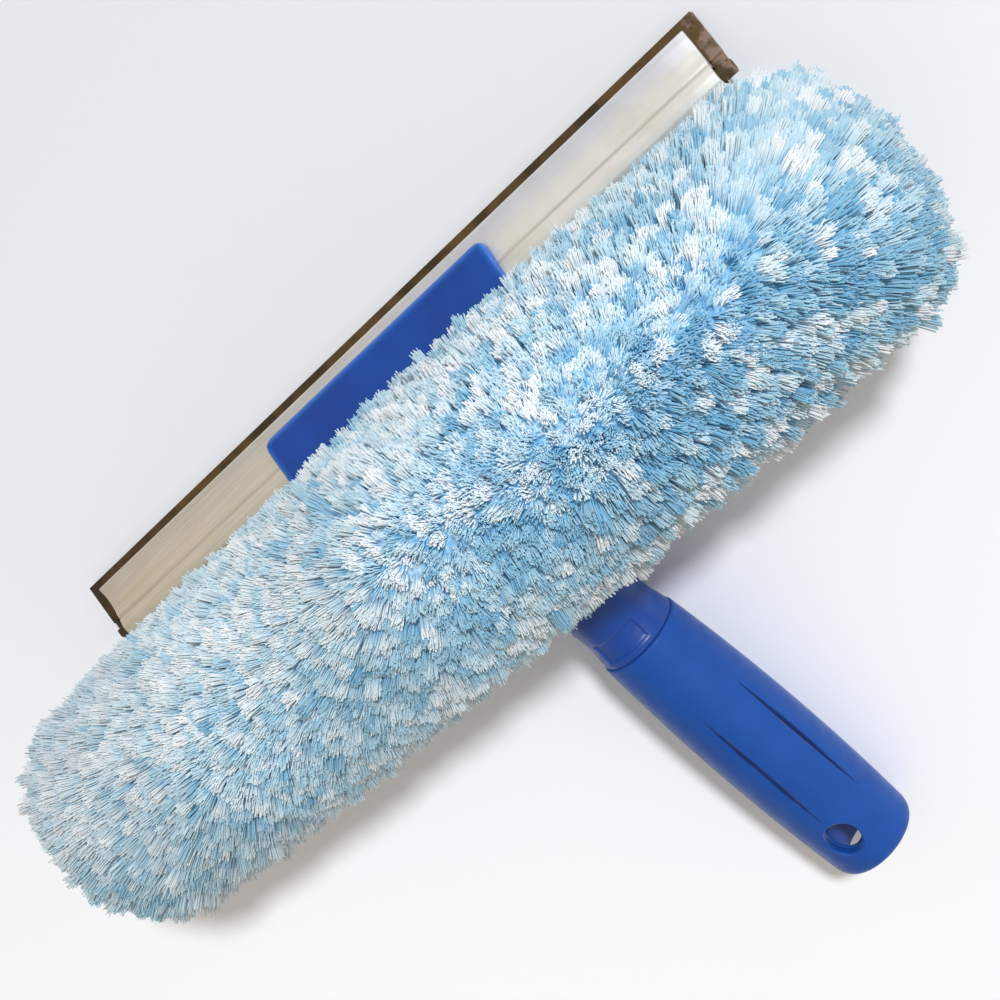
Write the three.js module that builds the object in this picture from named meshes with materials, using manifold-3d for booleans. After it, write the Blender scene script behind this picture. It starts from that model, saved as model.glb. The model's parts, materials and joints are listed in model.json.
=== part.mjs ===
// Two-in-one window cleaner: a squeegee with a rubber blade in a metal channel, a washing sleeve of
// microfibre pile on a T-bar above it, and one moulded handle with a soft grip and a pole socket.
// Millimetres. X runs along the blade, Y from the handle's end to the blade's lip, Z up.
// The tool is drawn with its handle along Y and the origin on the handle's axis at the grip's front edge,
// and then laid down at rest: on the blade's lip and the heel of the grip.
import * as THREE from 'three';
import { mergeVertices } from 'three/addons/utils/BufferGeometryUtils.js';
import Module from 'manifold-3d';

const wasm = await Module();
wasm.setup();

// Driving dimensions
const gap = 0.3;                                   // air between two touching pieces
const beyond = 250;                                // for cutters that run past everything
const bladeLength = 254;                           // rubber, end to end
const bladePitch = THREE.MathUtils.degToRad(27.9); // blade's plane against the handle's axis
const lipY = 109.8;
const lipZ = -33.6;
const gripLength = 98.4;
const gripFrontRadius = 13.4;
const gripBellyRadius = 15.3;
const gripEndRadius = 14.2;
const sleeveY = 67.2;                              // axis of the washing sleeve and its T-bar
const sleeveZ = 27;
const sleeveHalfLength = 153;
const sleeveHalfDepth = 37.7;
const sleeveHalfHeight = 35.4;
const pileTaper = 0.09;                            // share of its radius that the pile loses towards an end
const pileBluntness = 24;                          // even; larger makes flatter ends

// Handle
const gripBelly = 0.42;                            // where the belly is, as a share of the grip's length
const gripEndFillet = 4.5;
const grooveCount = 6;
const grooveFront = 24.5;                          // distances behind the grip's front edge
const grooveBack = 76.8;
const grooveRadius = 1.3;
const grooveLift = 0.3;                            // the groove cutter's axis above the grip's belly
const hangHoleY = -83.6;
const hangHoleHalfLength = 6;
const hangHoleHalfWidth = 5;
const coreRadius = 11.9;
const socketMouthRadius = 10.6;
const socketBottomRadius = 9.4;
const socketDepth = 62;
const collarFrontY = 26;                           // where the handle plugs into the head
const collarFrontRadius = 12.6;
const collarWaistRadius = 11.7;
const collarWaistY = 6;
const labelRecess = { y: 6, length: 6.5, width: 16, depth: 0.6 };
const spigotRadius = 8;
const spigotLength = 19;
const neckPinRadius = 2;

// Squeegee: distances back from the lip, and heights over the rubber's middle plane
const rubberHalf = 1.2;
const neckHalf = 0.6;
const bulbHalf = 2.1;
const neckFront = 13.2;
const bulbFront = 15.4;
const bulbBack = 19.6;
const rubberOverhang = 4.1;                        // rubber beyond the channel at each end
const channelFront = 2.7;
const channelBack = 21.2;
const jawFront = 5.9;
const jawHalfWidth = 45.5;
const jawTop = 6.4;
const throatHalfWidth = 47.6;
const throatBack = 31;
const fanBack = 66;
const jawScrew = { x: 24, back: 26.5, radius: 1.7, headRadius: 3.4, headHeight: 2.2 };

// T-bar and sleeve
const tbarHalfDepth = 21;
const tbarHalfHeight = 16;
const tbarWall = 2.4;
const tbarHalfLength = 124;
const capDome = 11;
const backingThickness = 1.2;
const saddleHalfWidth = 13;
const saddleFront = 78;
const saddleBack = 54;
const slitHalfLength = 70;
const tapeHalfDepth = 6.5;
const flapHalfDepth = 9;
const tbarScrew = { x: 8, radius: 1.7, headRadius: 3.4, headHeight: 2.2 };
const nutRadius = 3.6;
const nutHeight = 2.6;

// ---- helpers ----

// One closed body from any closed geometry: shared corners merged, empty triangles dropped, faces outward.
function cleaned(geometry) {
  const bare = geometry.index ? geometry.toNonIndexed() : geometry.clone();
  bare.deleteAttribute('normal');
  bare.deleteAttribute('uv');
  const merged = mergeVertices(bare, 1e-4);
  const place = merged.attributes.position;
  const corner = [new THREE.Vector3(), new THREE.Vector3(), new THREE.Vector3()];
  const kept = [];
  let volume = 0;
  for (let i = 0; i < merged.index.count; i += 3) {
    const ids = [0, 1, 2].map((k) => merged.index.getX(i + k));
    if (new Set(ids).size < 3) continue;
    ids.forEach((id, k) => corner[k].fromBufferAttribute(place, id));
    volume += corner[0].dot(corner[1].clone().cross(corner[2]));
    kept.push(...ids);
  }
  if (volume < 0) {
    for (let i = 0; i < kept.length; i += 3) [kept[i], kept[i + 1]] = [kept[i + 1], kept[i]];
  }
  merged.setIndex(kept);
  return merged;
}

function toManifold(geometry) {
  const ready = cleaned(geometry);
  return new wasm.Manifold(new wasm.Mesh({
    numProp: 3,
    vertProperties: new Float32Array(ready.attributes.position.array),
    triVerts: new Uint32Array(ready.index.array),
  }));
}

function fromManifold(body) {
  const mesh = body.getMesh();
  const geometry = new THREE.BufferGeometry();
  geometry.setAttribute('position', new THREE.BufferAttribute(new Float32Array(mesh.vertProperties), 3));
  geometry.setIndex([...mesh.triVerts]);
  return cleaned(geometry);
}

// base with every geometry of `more` joined on, then every geometry of `less` cut away
function shaped(base, more = [], less = []) {
  let body = toManifold(base);
  for (const piece of more) body = body.add(toManifold(piece));
  for (const piece of less) body = body.subtract(toManifold(piece));
  return fromManifold(body);
}

function overlapOf(first, second) {
  return fromManifold(toManifold(first).intersect(toManifold(second)));
}

// A profile of [radius, y] points turned about the Y axis
function turned(points, segments = 40) {
  return new THREE.LatheGeometry(points.map(([r, y]) => new THREE.Vector2(r, y)), segments);
}

function shapeOf(points) {
  return new THREE.Shape(points.map(([u, v]) => new THREE.Vector2(u, v)));
}

// An outline in (y, z) drawn out along X, centred on the YZ plane
function alongX(shape, length, curveSegments = 12) {
  const geometry = new THREE.ExtrudeGeometry(shape, { depth: length, bevelEnabled: false, curveSegments });
  geometry.translate(0, 0, -length / 2);
  const toYZ = new THREE.Matrix4().makeBasis(
    new THREE.Vector3(0, 1, 0), new THREE.Vector3(0, 0, 1), new THREE.Vector3(1, 0, 0));
  return geometry.applyMatrix4(toYZ);
}

// An outline in (x, y) drawn up along Z from low to high
function upZ(shape, low, high, curveSegments = 12) {
  const geometry = new THREE.ExtrudeGeometry(shape, { depth: high - low, bevelEnabled: false, curveSegments });
  return geometry.translate(0, 0, low);
}

function box(xRange, yRange, zRange) {
  const size = [xRange, yRange, zRange].map(([low, high]) => high - low);
  const middle = [xRange, yRange, zRange].map(([low, high]) => (high + low) / 2);
  return new THREE.BoxGeometry(...size).translate(...middle);
}

// A rod along Z with its middle line at x, y
function uprightRod(radius, x, y, low, high, segments = 20) {
  const rod = new THREE.CylinderGeometry(radius, radius, high - low, segments);
  return rod.rotateX(Math.PI / 2).translate(x, y, (low + high) / 2);
}

function ellipse(centreY, centreZ, halfDepth, halfHeight) {
  const shape = new THREE.Shape();
  shape.absellipse(centreY, centreZ, halfDepth, halfHeight, 0, Math.PI * 2);
  return shape;
}

// The pile's outer shape on the sleeve's axis: an ellipse that narrows slowly and closes in a blunt round end
function pileBody(halfLength, halfDepth, halfHeight, rings, segments) {
  const profile = [];
  for (let i = 0; i <= rings; i++) {
    const along = -Math.cos((Math.PI * i) / rings);
    const radius = i % rings === 0 ? 0 : Math.sqrt(1 - along ** pileBluntness) * (1 - pileTaper * along ** 2);
    profile.push([radius, along * halfLength]);
  }
  return onSleeveAxis(profile, halfDepth, halfHeight, segments);
}

// A bar on the sleeve's axis: straight for most of its length, with a dome on each end
function domedBar(halfStraight, dome, halfDepth, halfHeight, segments) {
  const steps = 5;
  const end = [];
  for (let i = 0; i <= steps; i++) {
    const turn = (Math.PI / 2) * (i / steps);
    end.push([i === steps ? 0 : Math.cos(turn), halfStraight + dome * Math.sin(turn)]);
  }
  const start = end.map(([radius, along]) => [radius, -along]).reverse();
  return onSleeveAxis([...start, ...end], halfDepth, halfHeight, segments);
}

// A profile of [share of the radius, x] turned about the sleeve's axis and flattened to an ellipse
function onSleeveAxis(profile, halfDepth, halfHeight, segments) {
  const geometry = turned(profile, segments).rotateZ(-Math.PI / 2);
  return geometry.scale(1, halfDepth, halfHeight).translate(0, sleeveY, sleeveZ);
}

// ---- materials ----

function material(colour, roughness, metalness = 0) {
  return new THREE.MeshStandardMaterial({ color: colour, roughness, metalness });
}

const softBlue = material(0x1c55b0, 0.7);
const hardBlue = material(0x1b4fae, 0.4);
const aluminium = material(0xcfcac2, 0.38, 1);
const rubber = material(0x2b2114, 0.55);
const steel = material(0xb9bdc2, 0.3, 1);
const whitePlastic = material(0xe4e6e8, 0.45);
const backingCloth = material(0xdfe9ef, 0.95);
const pileFibre = material(0xa9d3e6, 0.95);
const tapeFibre = material(0x25282c, 0.9);

const tool = new THREE.Group();
const squeegee = new THREE.Group();
squeegee.position.set(0, lipY, lipZ);
squeegee.rotation.x = -bladePitch;
tool.add(squeegee);

function place(name, geometry, look, parent = tool) {
  const mesh = new THREE.Mesh(cleaned(geometry), look);
  mesh.name = name;
  parent.add(mesh);
}

// ---- handle ----

// The grip's outer radius: a parabola through its radii at the front edge, the belly and the end
function gripRadius(share) {
  const front = gripFrontRadius * (share - gripBelly) * (share - 1) / gripBelly;
  const belly = gripBellyRadius * share * (share - 1) / (gripBelly * (gripBelly - 1));
  const end = gripEndRadius * share * (share - gripBelly) / (1 - gripBelly);
  return front + belly + end;
}

function hangHole(extra) {
  const shape = new THREE.Shape();
  shape.absellipse(0, hangHoleY, hangHoleHalfWidth + extra, hangHoleHalfLength + extra, 0, Math.PI * 2);
  return upZ(shape, -20, 20, 14);
}

// A slender spindle that leaves one pointed groove where it meets the grip
function grooveCutters() {
  const steps = 8;
  const profile = [];
  for (let i = 0; i <= steps; i++) {
    const along = i / steps;
    profile.push([grooveRadius * Math.sin(Math.PI * along), -grooveFront - (grooveBack - grooveFront) * along]);
  }
  profile[0][0] = 0;
  profile[steps][0] = 0;
  const cutters = [];
  for (let i = 0; i < grooveCount; i++) {
    const cutter = turned(profile, 10).translate(0, 0, gripBellyRadius + grooveLift);
    cutters.push(cutter.rotateY((2 * Math.PI * i) / grooveCount));
  }
  return cutters;
}

function gripCover() {
  const profile = [[coreRadius + gap, 0]];
  const steps = 12;
  const straight = gripLength - gripEndFillet;
  for (let i = 0; i <= steps; i++) {
    const back = (straight * i) / steps;
    profile.push([gripRadius(back / gripLength), -back]);
  }
  for (let i = 1; i <= 4; i++) {
    const turn = (Math.PI / 2) * (i / 4);
    const radius = gripRadius(straight / gripLength) - gripEndFillet * 0.45 * (1 - Math.cos(turn));
    profile.push([radius, -straight - gripEndFillet * Math.sin(turn)]);
  }
  profile.push([coreRadius + gap, -gripLength]);
  profile.push([coreRadius + gap, 0]);
  return shaped(turned(profile, 48), [], [hangHole(0), ...grooveCutters()]);
}

function handleCore() {
  const socketEnd = -gripLength + socketDepth;
  const profile = [
    [0, socketEnd],
    [socketBottomRadius, socketEnd],
    [socketMouthRadius, -gripLength],
    [coreRadius, -gripLength],
    [coreRadius, gap],
    [collarWaistRadius + 0.4, gap],
    [collarWaistRadius, collarWaistY],
    [collarWaistRadius + 0.3, 12],
    [collarFrontRadius, 20],
    [collarFrontRadius, collarFrontY],
    [spigotRadius, collarFrontY],
    [spigotRadius, collarFrontY + spigotLength],
    [0, collarFrontY + spigotLength],
  ];
  const { y, length, width, depth } = labelRecess;
  const floor = collarWaistRadius + 0.1 - depth;
  const recess = shaped(
    box([-width / 2, width / 2], [y - length / 2, y + length / 2], [0, 20]), [],
    [turned([[0, -1], [floor, -1], [floor, 20], [0, 20]], 40)]);
  return shaped(turned(profile, 40), [], [hangHole(0), recess, neckPinRod(neckPinRadius + gap, 40)]);
}

function neckPinRod(radius, length) {
  const rod = new THREE.CylinderGeometry(radius, radius, length, 16);
  return rod.rotateZ(Math.PI / 2).translate(0, collarFrontY + spigotLength / 2, 0);
}

// ---- squeegee: everything here is drawn from the lip, +Y forward, in the blade's own plane ----

// Height of the channel's upper face: a shallow dish behind the front edge, then a hump over the rubber's bulb
const channelTop = [
  [channelFront, 3.4], [5, 2.7], [8, 2.4], [11, 2.8], [13.6, 3.5], [14.0, 3.4], [14.4, 3.7], [17, 4.3],
  [19.2, 3.8], [20.6, 2.6],
];

// From the blade's own frame to the tool's
function inTool(geometry) {
  return geometry.rotateX(-bladePitch).translate(0, lipY, lipZ);
}

function mirroredOutline(half) {
  const upper = half.map(([back, height]) => [-back, height]);
  const lower = half.map(([back, height]) => [-back, -height]).reverse();
  return shapeOf([...upper, ...lower]);
}

function channelBody() {
  const outer = mirroredOutline([...channelTop, [channelBack, 1.4]]);
  const slot = rubberHalf + gap;
  const lips = neckHalf + gap;
  const pocket = bulbHalf + gap;
  const inner = mirroredOutline([
    [channelFront - 1, slot], [neckFront + gap, slot], [neckFront + 2 * gap, lips], [bulbFront - gap, lips],
    [bulbFront - gap, pocket], [bulbBack - 1.3, pocket], [bulbBack + gap, pocket - 0.9],
  ]);
  const length = bladeLength - 2 * rubberOverhang;
  return shaped(alongX(outer, length), [], [alongX(inner, length + 2)]);
}

function rubberBody() {
  return alongX(mirroredOutline([
    [0, rubberHalf], [neckFront, rubberHalf], [neckFront + gap, neckHalf], [bulbFront, neckHalf],
    [bulbFront + 0.4, bulbHalf], [bulbBack - 1.6, bulbHalf], [bulbBack, bulbHalf - 1],
  ]), bladeLength);
}

// A jaw plate lying `gap` off the channel's face, from its front edge back to the throat
function jawProfile(front, top, throatLow) {
  const under = channelTop.filter(([back]) => back > front + 1).map(([back, height]) => [-back, height + gap]);
  return shapeOf([
    [-front, 3.0 + gap], ...under, [-channelBack - gap, 1.4], [-channelBack - gap, throatLow],
    [-throatBack, throatLow], [-throatBack, top], [-front - 1.2, top - 0.6], [-front, top - 1.8],
  ]);
}

function roundedPlan(halfWidth, front, back, radius) {
  const shape = new THREE.Shape();
  shape.moveTo(-halfWidth, -back);
  shape.lineTo(halfWidth, -back);
  shape.lineTo(halfWidth, -front - radius);
  shape.absarc(halfWidth - radius, -front - radius, radius, 0, Math.PI / 2);
  shape.lineTo(-halfWidth + radius, -front);
  shape.absarc(-halfWidth + radius, -front - radius, radius, Math.PI / 2, Math.PI);
  return shape;
}

function jawScrewHoles(radius, low, high) {
  return [-1, 1].map((side) => uprightRod(radius, side * jawScrew.x, -jawScrew.back, low, high));
}

const throatSplit = -1.6;                          // where the lower jaw meets the upper one
const lowerJawUnder = -6.4;

function lowerJaw() {
  const upper = jawProfile(jawFront + 4, jawTop, -throatSplit + gap);
  const plate = alongX(upper, 2 * throatHalfWidth).scale(1, 1, -1);
  const outline = overlapOf(plate, upZ(roundedPlan(jawHalfWidth - 4, jawFront + 4, throatBack, 6), -20, 20, 6));
  return shaped(outline, [], [
    ...jawScrewHoles(jawScrew.radius + gap, -20, 20),
    ...jawScrewHoles(jawScrew.headRadius + gap, -20, lowerJawUnder + jawScrew.headHeight + gap),
  ]);
}

// The moulded head: upper jaw, a fan that narrows to the neck, the neck's socket and the T-bar's saddle
function headYoke() {
  const jaw = overlapOf(
    alongX(jawProfile(jawFront, jawTop, throatSplit), 2 * throatHalfWidth),
    upZ(roundedPlan(jawHalfWidth, jawFront, throatBack, 3), -20, 20, 6));
  const throat = box(
    [-throatHalfWidth, throatHalfWidth], [-throatBack, -channelBack - gap], [throatSplit, jawTop - 1.4]);
  const fanShape = new THREE.Shape();
  fanShape.moveTo(-throatHalfWidth + 3, -throatBack + 2);
  fanShape.lineTo(throatHalfWidth - 3, -throatBack + 2);
  fanShape.quadraticCurveTo(16, -throatBack - 8, 11, -fanBack);
  fanShape.lineTo(-11, -fanBack);
  fanShape.quadraticCurveTo(-16, -throatBack - 8, -throatHalfWidth + 3, -throatBack + 2);
  const fan = upZ(fanShape, throatSplit, jawTop - 1.4, 8);
  const boss = turned([
    [0, collarFrontY + gap], [collarFrontRadius, collarFrontY + gap], [collarFrontRadius, 50],
    [collarFrontRadius - 3, 55], [0, 57],
  ], 40);
  const saddle = alongX(shapeOf([
    [saddleBack - 8, -6], [saddleFront + 1, -14], [saddleFront, 16], [saddleBack, 16], [saddleBack, 8],
    [saddleBack - 6, 2],
  ]), 2 * saddleHalfWidth);
  const cuts = [
    turned([
      [0, 0], [spigotRadius + gap, 0], [spigotRadius + gap, collarFrontY + spigotLength + gap],
      [0, collarFrontY + spigotLength + gap],
    ], 40),
    neckPinRod(neckPinRadius + gap, 40),
    alongX(ellipse(sleeveY, sleeveZ, tbarHalfDepth + gap, tbarHalfHeight + gap), 60, 18),
    ...jawScrewHoles(jawScrew.radius + gap, -20, 20).map(inTool),
    ...jawNutPockets().map(inTool),
    ...tbarScrewHoles(tbarScrew.radius + gap, -40, 20),
    ...tbarScrewHoles(tbarScrew.headRadius + gap, -40, tbarScrewLow + tbarScrew.headHeight + gap),
  ];
  return shaped(inTool(jaw), [inTool(throat), inTool(fan), boss, saddle], cuts);
}

function screwBody({ radius, headRadius, headHeight }, length) {
  const slot = box([-headRadius - 1, headRadius + 1], [-0.5, 0.5], [-1, 0.9]);
  const turnedUp = turned([
    [0, 0], [headRadius - 0.6, 0], [headRadius, 0.6], [headRadius, headHeight], [radius, headHeight],
    [radius, length - 0.6], [radius - 0.6, length], [0, length],
  ], 20).rotateX(Math.PI / 2);
  return shaped(turnedUp, [], [slot]);
}

function nutShape(radius) {
  const corners = [];
  for (let i = 0; i < 6; i++) {
    const turn = (Math.PI * i) / 3;
    corners.push([radius * Math.cos(turn), radius * Math.sin(turn)]);
  }
  return shapeOf(corners);
}

function nutBody(boltRadius) {
  const hole = uprightRod(boltRadius + gap, 0, 0, -1, nutHeight + 1);
  return shaped(upZ(nutShape(nutRadius), 0, nutHeight), [], [hole]);
}

const jawNutLow = jawTop - 1.4 - nutHeight;

function jawNutPockets() {
  return [-1, 1].map((side) => upZ(nutShape(nutRadius + gap), jawNutLow - gap, 20)
    .translate(side * jawScrew.x, -jawScrew.back, 0));
}

// ---- T-bar ----

const tbarScrewLow = -10;                          // underside of the screw heads in the saddle
const tbarFloor = sleeveZ - tbarHalfHeight + tbarWall;

function tbarScrewHoles(radius, low, high) {
  return [-1, 1].map((side) => uprightRod(radius, side * tbarScrew.x, sleeveY, low, high));
}

function tbarBody() {
  const shape = ellipse(sleeveY, sleeveZ, tbarHalfDepth, tbarHalfHeight);
  const bore = ellipse(sleeveY, sleeveZ, tbarHalfDepth - tbarWall, tbarHalfHeight - tbarWall);
  const flatSeat = box(
    [-tbarScrew.x - 6, tbarScrew.x + 6], [sleeveY - 6, sleeveY + 6], [tbarFloor - tbarWall / 2, tbarFloor + 1]);
  return shaped(
    alongX(shape, 2 * tbarHalfLength, 18), [],
    [
      shaped(alongX(bore, 2 * tbarHalfLength + 2, 18), [], [flatSeat]),
      ...tbarScrewHoles(tbarScrew.radius + gap, 0, sleeveZ),
    ]);
}

// A domed cap with a plug that fits the T-bar's end, drawn for the +X end
function tbarEndCap() {
  const plug = 10;
  const plugDepth = tbarHalfDepth - tbarWall - gap;
  const plugHeight = tbarHalfHeight - tbarWall - gap;
  const start = tbarHalfLength + gap;
  const inside = box([-beyond, start], [-beyond, beyond], [-beyond, beyond]);
  const head = shaped(domedBar(start, capDome, tbarHalfDepth, tbarHalfHeight, 32), [], [inside]);
  const plugBar = domedBar(start + 1, 1, plugDepth, plugHeight, 32);
  const beforePlug = box([-beyond, start - plug], [-beyond, beyond], [-beyond, beyond]);
  return shaped(head, [shaped(plugBar, [], [beforePlug])]);
}

// ---- sleeve ----

function backingSolid(extra) {
  const loose = 2 * gap + extra;
  return domedBar(tbarHalfLength + gap, capDome + loose, tbarHalfDepth + loose, tbarHalfHeight + loose, 32);
}

// The slit in the sleeve's underside: a wide middle for the saddle and a narrower run on each side of it
function slitCutters(halfLength, halfDepth) {
  const slitTop = sleeveZ - tbarHalfHeight / 2;
  const saddleRoom = 1.5;
  const middle = saddleHalfWidth + saddleRoom;
  return [
    box([-halfLength, halfLength], [sleeveY - halfDepth, sleeveY + halfDepth], [-beyond, slitTop]),
    box([-middle, middle], [saddleBack - saddleRoom, saddleFront + saddleRoom], [-beyond, slitTop]),
  ];
}

function sleeveBacking() {
  const slits = slitCutters(slitHalfLength - 4, 4);
  return shaped(backingSolid(backingThickness), [], [backingSolid(0), ...slits]);
}

function sleevePile() {
  const outer = pileBody(sleeveHalfLength, sleeveHalfDepth, sleeveHalfHeight, 20, 40);
  const neckRoom = collarFrontRadius + 2;
  const fanHalfRoom = 34;
  const neckWay = box([-neckRoom, neckRoom], [0, sleeveY], [-beyond, neckRoom]);
  const fanWay = inTool(box([-fanHalfRoom, fanHalfRoom], [-fanBack - 4, -channelBack], [-beyond, jawTop - 0.4]));
  const slits = slitCutters(slitHalfLength, flapHalfDepth + 1);
  return shaped(outer, [], [backingSolid(backingThickness + gap), ...slits, neckWay, fanWay]);
}

// The slit's closing on each side of the saddle: hook tape, loop tape and a cloth flap, one under another
function closurePieces(side) {
  const inner = saddleHalfWidth + 4;
  const tapeTop = sleeveZ - tbarHalfHeight - backingThickness - 3 * gap;
  const layers = [
    ['hook_tape', tapeHalfDepth, 1.0, slitHalfLength - 6, tapeFibre],
    ['loop_tape', tapeHalfDepth, 1.0, slitHalfLength - 6, tapeFibre],
    ['closure_flap', flapHalfDepth, 1.4, slitHalfLength - 2, backingCloth],
  ];
  let top = tapeTop;
  return layers.map(([name, halfDepth, thickness, outer, look]) => {
    const xRange = side > 0 ? [inner, outer] : [-outer, -inner];
    const geometry = box(xRange, [sleeveY - halfDepth, sleeveY + halfDepth], [top - thickness, top]);
    top -= thickness + gap;
    return [name, geometry, look];
  });
}

// ---- assembly ----

place('grip_cover', gripCover(), softBlue);
place('handle_core', handleCore(), hardBlue);
place('neck_pin', neckPinRod(neckPinRadius, 2 * collarFrontRadius - 2), steel);
place('head_yoke', headYoke(), hardBlue);
place('lower_jaw', lowerJaw(), hardBlue, squeegee);
place('squeegee_channel', channelBody(), aluminium, squeegee);
place('rubber_blade', rubberBody(), rubber, squeegee);
place('tbar_body', tbarBody(), whitePlastic);
place('sleeve_backing', sleeveBacking(), backingCloth);
place('sleeve_pile', sleevePile(), pileFibre);

for (const [side, word] of [[-1, 'left'], [1, 'right']]) {
  const jawScrewLength = jawTop - lowerJawUnder - 1.6;
  place(
    `jaw_screw_${word}`,
    screwBody(jawScrew, jawScrewLength).translate(side * jawScrew.x, -jawScrew.back, lowerJawUnder),
    steel, squeegee);
  place(
    `jaw_nut_${word}`, nutBody(jawScrew.radius).translate(side * jawScrew.x, -jawScrew.back, jawNutLow),
    steel, squeegee);
  place(
    `tbar_screw_${word}`,
    screwBody(tbarScrew, tbarFloor + nutHeight + 2 - tbarScrewLow).translate(side * tbarScrew.x, sleeveY, tbarScrewLow),
    steel);
  place(
    `tbar_nut_${word}`,
    nutBody(tbarScrew.radius).translate(side * tbarScrew.x, sleeveY, tbarFloor + 1 + gap), steel);
  place(`tbar_end_cap_${word}`, tbarEndCap().scale(side, 1, 1), whitePlastic);
  for (const [name, geometry, look] of closurePieces(side)) place(`${name}_${word}`, geometry, look);
}

// Laid down at rest: pitched until the lip and the grip's heel are level, then stood on z = 0
// with the origin under the middle of the whole tool.
const heelY = -gripLength + gripEndFillet;
tool.rotation.x = Math.atan2(lipZ - rubberHalf + gripEndRadius, heelY - lipY) + Math.PI;
tool.updateMatrixWorld(true);
const extent = new THREE.Box3().setFromObject(tool, true);
tool.position.y = -(extent.min.y + extent.max.y) / 2;
tool.position.z = -extent.min.z;

const group = new THREE.Group();
group.add(tool);
group.updateMatrixWorld(true);

export default group;
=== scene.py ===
"""Looks for the two-in-one window cleaner: a squeegee, a washing sleeve of tufted pile, and one handle.

Shapes are drawn in millimetres in one of three drawing frames, and each frame's matrix turns them into
metres in the row frame:
  tool    origin on the handle's axis at the grip's front edge, +Y towards the head, +Z up
  blade   origin at the middle of the rubber's lip, +Y forward in the blade's own plane
  sleeve  origin at the middle of the washing sleeve, turned as the tool is
"""
import json
import math

import bmesh
import bpy
import numpy as np
from mathutils import Matrix, Vector, kdtree


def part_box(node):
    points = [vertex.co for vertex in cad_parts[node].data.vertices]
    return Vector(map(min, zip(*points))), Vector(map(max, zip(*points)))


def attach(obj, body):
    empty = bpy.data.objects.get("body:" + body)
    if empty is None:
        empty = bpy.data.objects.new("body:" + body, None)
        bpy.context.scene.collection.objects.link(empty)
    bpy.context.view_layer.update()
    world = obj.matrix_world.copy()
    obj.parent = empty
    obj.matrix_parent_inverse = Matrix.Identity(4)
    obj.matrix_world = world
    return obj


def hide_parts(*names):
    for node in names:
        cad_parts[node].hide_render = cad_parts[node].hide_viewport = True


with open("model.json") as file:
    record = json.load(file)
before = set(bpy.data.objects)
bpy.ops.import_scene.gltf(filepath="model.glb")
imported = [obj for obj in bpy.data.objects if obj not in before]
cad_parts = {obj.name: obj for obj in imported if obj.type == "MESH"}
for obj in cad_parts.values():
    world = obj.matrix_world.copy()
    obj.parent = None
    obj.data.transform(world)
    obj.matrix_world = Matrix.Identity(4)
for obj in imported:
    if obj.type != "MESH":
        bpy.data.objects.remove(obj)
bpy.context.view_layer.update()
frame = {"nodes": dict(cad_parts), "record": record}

MM = 0.001
GRIP_LENGTH = 98.4
SOCKET_RING = 11.25          # middle of the ring that the socket mount sits on
GRIP_RADII = (13.4, 15.3, 14.2)   # front edge, belly, end
GRIP_BELLY = 0.42
CORE_RADIUS = 11.9
BLADE_LENGTH = 254.0
PILE_HALF = np.array([153.0, 37.7, 35.4])   # length, depth, height of the sleeve's outer shape
PILE_TAPER, PILE_BLUNTNESS = 0.09, 24       # how it narrows towards an end, and closes

# ---- drawing frames ----


def drawing_frame(origin, forward):
    """Turns millimetres, +X along the blade and +Y along forward, into metres in the row frame."""
    side = Vector((1, 0, 0))
    forward = Vector(forward).normalized()
    turn = Matrix((side, forward, side.cross(forward))).transposed().to_4x4()
    return Matrix.Translation(origin) @ turn @ Matrix.Scale(MM, 4)


mounts = {mount["name"]: mount for mount in frame["record"]["mounts"]}
socket_face = mounts["pole_socket_face"]
lip_face = mounts["blade_lip"]
handle_forward = -Vector(socket_face["axis"])
handle_up = Vector((1, 0, 0)).cross(handle_forward)
handle_end = Vector(socket_face["pos_m"]) - SOCKET_RING * MM * handle_up
TOOL = drawing_frame(handle_end + GRIP_LENGTH * MM * handle_forward, handle_forward)
BLADE = drawing_frame(lip_face["pos_m"], lip_face["axis"])
bar_low, bar_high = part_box("tbar_body")
SLEEVE = drawing_frame((bar_low + bar_high) / 2, handle_forward)


def moved(matrix, points):
    """An array of points, any shape ending in 3, through a matrix."""
    table = np.array(matrix)
    return points @ table[:3, :3].T + table[:3, 3]


# ---- mesh helpers ----


def new_object(name, mesh, body, look):
    mesh.name = name
    obj = bpy.data.objects.new(name, mesh)
    bpy.context.scene.collection.objects.link(obj)
    mesh.materials.clear()
    mesh.materials.append(look)
    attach(obj, body)
    return obj


def ring_mesh(name, rings, joined=False):
    """A closed skin over rings [ring, step, xyz]. Its ends are capped, or joined to each other."""
    count, steps = rings.shape[:2]
    here = np.arange(count * steps).reshape(count, steps)
    nearby = np.roll(here, -1, axis=1)
    last = count if joined else count - 1
    beyond = np.roll(here, -1, axis=0)
    beyond_nearby = np.roll(nearby, -1, axis=0)
    quads = np.stack([here, nearby, beyond_nearby, beyond], axis=-1)[:last].reshape(-1, 4)
    faces = quads.tolist()
    if not joined:
        faces.append(here[0][::-1].tolist())
        faces.append(here[-1].tolist())
    mesh = bpy.data.meshes.new(name)
    mesh.from_pydata(rings.reshape(-1, 3).tolist(), [], faces)
    mesh.update()
    face_outward(mesh)
    return mesh


def face_outward(mesh):
    shape = bmesh.new()
    shape.from_mesh(mesh)
    bmesh.ops.recalc_face_normals(shape, faces=shape.faces)
    shape.to_mesh(mesh)
    shape.free()


def smooth_shaded(mesh, sharp_degrees=None):
    mesh.polygons.foreach_set("use_smooth", [True] * len(mesh.polygons))
    if sharp_degrees is not None:
        mesh.set_sharp_from_angle(angle=math.radians(sharp_degrees))
    return mesh


def places(mesh):
    """The mesh's points as an array [point, xyz]."""
    table = np.zeros(len(mesh.vertices) * 3)
    mesh.vertices.foreach_get("co", table)
    return table.reshape(-1, 3)


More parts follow.
